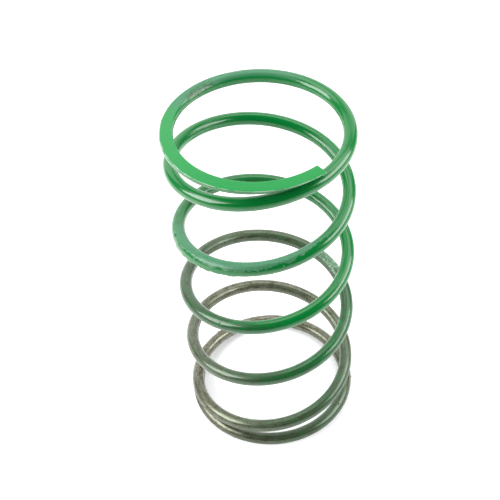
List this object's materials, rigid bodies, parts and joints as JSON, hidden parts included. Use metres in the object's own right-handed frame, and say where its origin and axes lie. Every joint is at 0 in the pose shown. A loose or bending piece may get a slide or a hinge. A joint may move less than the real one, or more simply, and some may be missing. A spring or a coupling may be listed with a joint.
{
  "type": "helical compression spring",
  "caption": "Right-hand helical compression spring with closed, ground ends, in round steel wire with green paint fading to bare metal.",
  "frame": {"origin": "on the coil axis, in the plane of the bottom ground face", "axes": "+Z along the coil axis to the top ground face; -Y faces the viewer"},
  "size_m": [0.0659, 0.0659, 0.136],
  "materials": {
    "green_paint": "glossy green enamel",
    "thin_green_paint": "thin green enamel, the steel showing through",
    "oversprayed_steel": "drawn spring steel with a light green overspray"
  },
  "bodies": {
    "bottom_end": {"coil1_front_left": "oversprayed_steel", "coil1_front_right": "oversprayed_steel", "coil1_back_right": "oversprayed_steel", "coil1_back_left": "oversprayed_steel", "coil2_front_left": "oversprayed_steel"},
    "coil2_front_right": {"coil2_front_right": "oversprayed_steel"},
    "coil2_back_right": {"coil2_back_right": "oversprayed_steel"},
    "coil2_back_left": {"coil2_back_left": "oversprayed_steel"},
    "coil3_front_left": {"coil3_front_left": "oversprayed_steel"},
    "coil3_front_right": {"coil3_front_right": "thin_green_paint"},
    "coil3_back_right": {"coil3_back_right": "thin_green_paint"},
    "coil3_back_left": {"coil3_back_left": "thin_green_paint"},
    "coil4_front_left": {"coil4_front_left": "thin_green_paint"},
    "coil4_front_right": {"coil4_front_right": "thin_green_paint"},
    "coil4_back_right": {"coil4_back_right": "thin_green_paint"},
    "coil4_back_left": {"coil4_back_left": "thin_green_paint"},
    "coil5_front_left": {"coil5_front_left": "green_paint"},
    "coil5_front_right": {"coil5_front_right": "green_paint"},
    "coil5_back_right": {"coil5_back_right": "green_paint"},
    "coil5_back_left": {"coil5_back_left": "green_paint"},
    "coil6_front_left": {"coil6_front_left": "green_paint"},
    "top_end": {"coil6_front_right": "green_paint", "coil6_back_right": "green_paint", "coil6_back_left": "green_paint", "coil7_front_left": "green_paint", "coil7_front_right": "green_paint"}
  },
  "joints": [
    {"name": "compression", "type": "slide", "parent": "bottom_end", "child": "top_end", "axis": [0, 0, 1], "range_m": [-0.09, 0], "stiffness_N_per_m": 3961},
    {"name": "flex_coil2_front_right", "type": "slide", "parent": "bottom_end", "child": "coil2_front_right", "axis": [0, 0, 1], "range_m": [-0.00302, 0], "stiffness_N_per_m": 20000},
    {"name": "flex_coil2_back_right", "type": "slide", "parent": "coil2_front_right", "child": "coil2_back_right", "axis": [0, 0, 1], "range_m": [-0.00582, 0], "stiffness_N_per_m": 20000},
    {"name": "flex_coil2_back_left", "type": "slide", "parent": "coil2_back_right", "child": "coil2_back_left", "axis": [0, 0, 1], "range_m": [-0.00582, 0], "stiffness_N_per_m": 20000},
    {"name": "flex_coil3_front_left", "type": "slide", "parent": "coil2_back_left", "child": "coil3_front_left", "axis": [0, 0, 1], "range_m": [-0.00582, 0], "stiffness_N_per_m": 20000},
    {"name": "flex_coil3_front_right", "type": "slide", "parent": "coil3_front_left", "child": "coil3_front_right", "axis": [0, 0, 1], "range_m": [-0.00582, 0], "stiffness_N_per_m": 20000},
    {"name": "flex_coil3_back_right", "type": "slide", "parent": "coil3_front_right", "child": "coil3_back_right", "axis": [0, 0, 1], "range_m": [-0.00582, 0], "stiffness_N_per_m": 20000},
    {"name": "flex_coil3_back_left", "type": "slide", "parent": "coil3_back_right", "child": "coil3_back_left", "axis": [0, 0, 1], "range_m": [-0.00582, 0], "stiffness_N_per_m": 20000},
    {"name": "flex_coil4_front_left", "type": "slide", "parent": "coil3_back_left", "child": "coil4_front_left", "axis": [0, 0, 1], "range_m": [-0.00582, 0], "stiffness_N_per_m": 20000},
    {"name": "flex_coil4_front_right", "type": "slide", "parent": "coil4_front_left", "child": "coil4_front_right", "axis": [0, 0, 1], "range_m": [-0.00582, 0], "stiffness_N_per_m": 20000},
    {"name": "flex_coil4_back_right", "type": "slide", "parent": "coil4_front_right", "child": "coil4_back_right", "axis": [0, 0, 1], "range_m": [-0.00582, 0], "stiffness_N_per_m": 20000},
    {"name": "flex_coil4_back_left", "type": "slide", "parent": "coil4_back_right", "child": "coil4_back_left", "axis": [0, 0, 1], "range_m": [-0.00582, 0], "stiffness_N_per_m": 20000},
    {"name": "flex_coil5_front_left", "type": "slide", "parent": "coil4_back_left", "child": "coil5_front_left", "axis": [0, 0, 1], "range_m": [-0.00582, 0], "stiffness_N_per_m": 20000},
    {"name": "flex_coil5_front_right", "type": "slide", "parent": "coil5_front_left", "child": "coil5_front_right", "axis": [0, 0, 1], "range_m": [-0.00582, 0], "stiffness_N_per_m": 20000},
    {"name": "flex_coil5_back_right", "type": "slide", "parent": "coil5_front_right", "child": "coil5_back_right", "axis": [0, 0, 1], "range_m": [-0.00582, 0], "stiffness_N_per_m": 20000},
    {"name": "flex_coil5_back_left", "type": "slide", "parent": "coil5_back_right", "child": "coil5_back_left", "axis": [0, 0, 1], "range_m": [-0.00582, 0], "stiffness_N_per_m": 20000},
    {"name": "flex_coil6_front_left", "type": "slide", "parent": "coil5_back_left", "child": "coil6_front_left", "axis": [0, 0, 1], "range_m": [-0.00582, 0], "stiffness_N_per_m": 20000}
  ],
  "couplings": [
    {"joint": "flex_coil2_front_right", "follows": "compression", "ratio": 0.033333},
    {"joint": "flex_coil2_back_right", "follows": "compression", "ratio": 0.064444},
    {"joint": "flex_coil2_back_left", "follows": "compression", "ratio": 0.064444},
    {"joint": "flex_coil3_front_left", "follows": "compression", "ratio": 0.064444},
    {"joint": "flex_coil3_front_right", "follows": "compression", "ratio": 0.064444},
    {"joint": "flex_coil3_back_right", "follows": "compression", "ratio": 0.064444},
    {"joint": "flex_coil3_back_left", "follows": "compression", "ratio": 0.064444},
    {"joint": "flex_coil4_front_left", "follows": "compression", "ratio": 0.064444},
    {"joint": "flex_coil4_front_right", "follows": "compression", "ratio": 0.064444},
    {"joint": "flex_coil4_back_right", "follows": "compression", "ratio": 0.064444},
    {"joint": "flex_coil4_back_left", "follows": "compression", "ratio": 0.064444},
    {"joint": "flex_coil5_front_left", "follows": "compression", "ratio": 0.064444},
    {"joint": "flex_coil5_front_right", "follows": "compression", "ratio": 0.064444},
    {"joint": "flex_coil5_back_right", "follows": "compression", "ratio": 0.064444},
    {"joint": "flex_coil5_back_left", "follows": "compression", "ratio": 0.064444},
    {"joint": "flex_coil6_front_left", "follows": "compression", "ratio": 0.064444}
  ]
}
